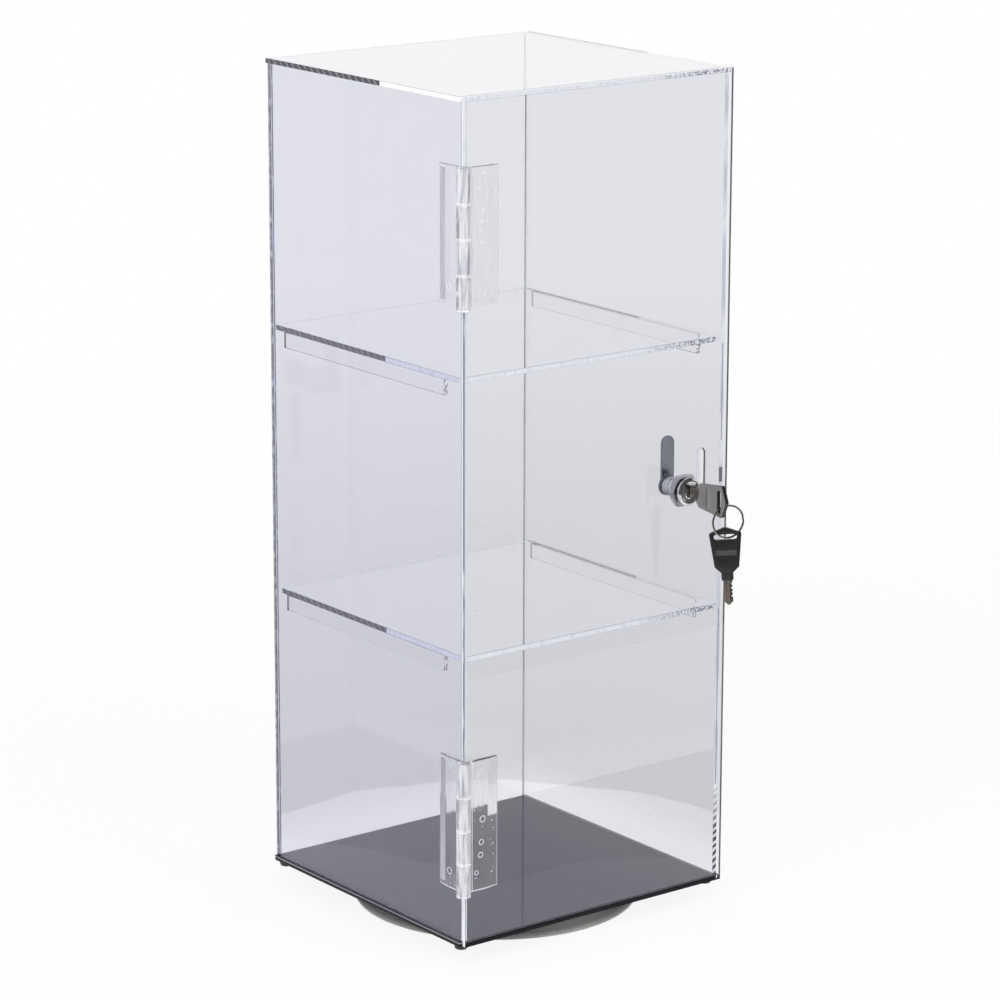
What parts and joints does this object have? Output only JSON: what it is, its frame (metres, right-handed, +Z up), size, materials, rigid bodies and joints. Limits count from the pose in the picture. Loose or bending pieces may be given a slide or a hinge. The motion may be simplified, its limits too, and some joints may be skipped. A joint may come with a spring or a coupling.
{
  "type": "rotating display case",
  "caption": "Clear upright display case with shelves and a hinged, locking front door, on a round turntable, with a key in the lock and a spare on its ring.",
  "frame": {"origin": "On the turntable's axis at the surface that the object stands on.", "axes": "+Z is up. The door is the -Y face, with its hinges at -X and its lock at +X."},
  "size_m": [0.2018, 0.2285, 0.508],
  "materials": {
    "clear_acrylic": "polished clear cast acrylic sheet",
    "black_acrylic": "polished black acrylic sheet",
    "clear_hinge": "moulded clear acrylic",
    "hinge_pin": "clear acrylic rod",
    "lock_chrome": "polished chrome plate",
    "lock_zinc": "plain zinc plate",
    "key_plastic": "moulded black plastic, satin",
    "key_steel": "nickel-plated steel",
    "ring_steel": "nickel-plated flat spring wire",
    "turntable_plate": "moulded grey plastic, smooth",
    "pivot_steel": "plain steel",
    "glide_nylon": "natural nylon",
    "rubber": "black rubber",
    "tape": "black foam tape",
    "bumper": "soft clear polyurethane"
  },
  "bodies": {
    "turntable_base": {"foot_pad": "rubber", "turntable_lower_plate": "turntable_plate", "pivot_pin": "pivot_steel", "glide_pads": "glide_nylon"},
    "case": {"turntable_upper_plate": "turntable_plate", "mounting_tape": "tape", "base_panel": "black_acrylic", "corner_bumpers": "bumper", "left_panel": "clear_acrylic", "right_panel": "clear_acrylic", "back_panel": "clear_acrylic", "top_panel": "clear_acrylic", "lower_shelf": "clear_acrylic", "lower_left_cleat": "clear_acrylic", "lower_right_cleat": "clear_acrylic", "lower_hinge_fixed_leaf": "clear_hinge", "lower_hinge_pin": "hinge_pin", "upper_shelf": "clear_acrylic", "upper_left_cleat": "clear_acrylic", "upper_right_cleat": "clear_acrylic", "upper_hinge_fixed_leaf": "clear_hinge", "upper_hinge_pin": "hinge_pin"},
    "door": {"door_panel": "clear_acrylic", "lock_body": "lock_chrome", "lock_nut": "lock_zinc", "lower_hinge_door_leaf": "clear_hinge", "upper_hinge_door_leaf": "clear_hinge"},
    "lock": {"lock_plug": "lock_chrome", "lock_cam": "lock_zinc", "cam_screw": "lock_zinc", "inserted_key_head": "key_plastic", "inserted_key_blade": "key_steel"},
    "key_ring": {"key_ring": "ring_steel"},
    "spare_key": {"spare_key_head": "key_plastic", "spare_key_blade": "key_steel"}
  },
  "joints": [
    {"name": "turntable_spin", "type": "hinge", "parent": "turntable_base", "child": "case", "pos_m": [0, 0, 0.0115], "axis": [0, 0, 1], "continuous": true},
    {"name": "door_hinge", "type": "hinge", "parent": "case", "child": "door", "pos_m": [-0.1, -0.1, 0.261], "axis": [0, 0, -1], "range_deg": [0, 225]},
    {"name": "lock_turn", "type": "hinge", "parent": "door", "child": "lock", "pos_m": [0.0675, -0.0958, 0.261], "axis": [0, 1, 0], "range_deg": [0, 90]},
    {"name": "ring_swing", "type": "hinge", "parent": "lock", "child": "key_ring", "pos_m": [0.0675, -0.1252, 0.2567], "axis": [-0.9588, 0.284, 0], "range_deg": [-5, 45]},
    {"name": "spare_key_swing", "type": "hinge", "parent": "key_ring", "child": "spare_key", "pos_m": [0.07224, -0.1266, 0.23887], "axis": [-0.9588, 0.284, 0], "range_deg": [-10, 10]}
  ]
}
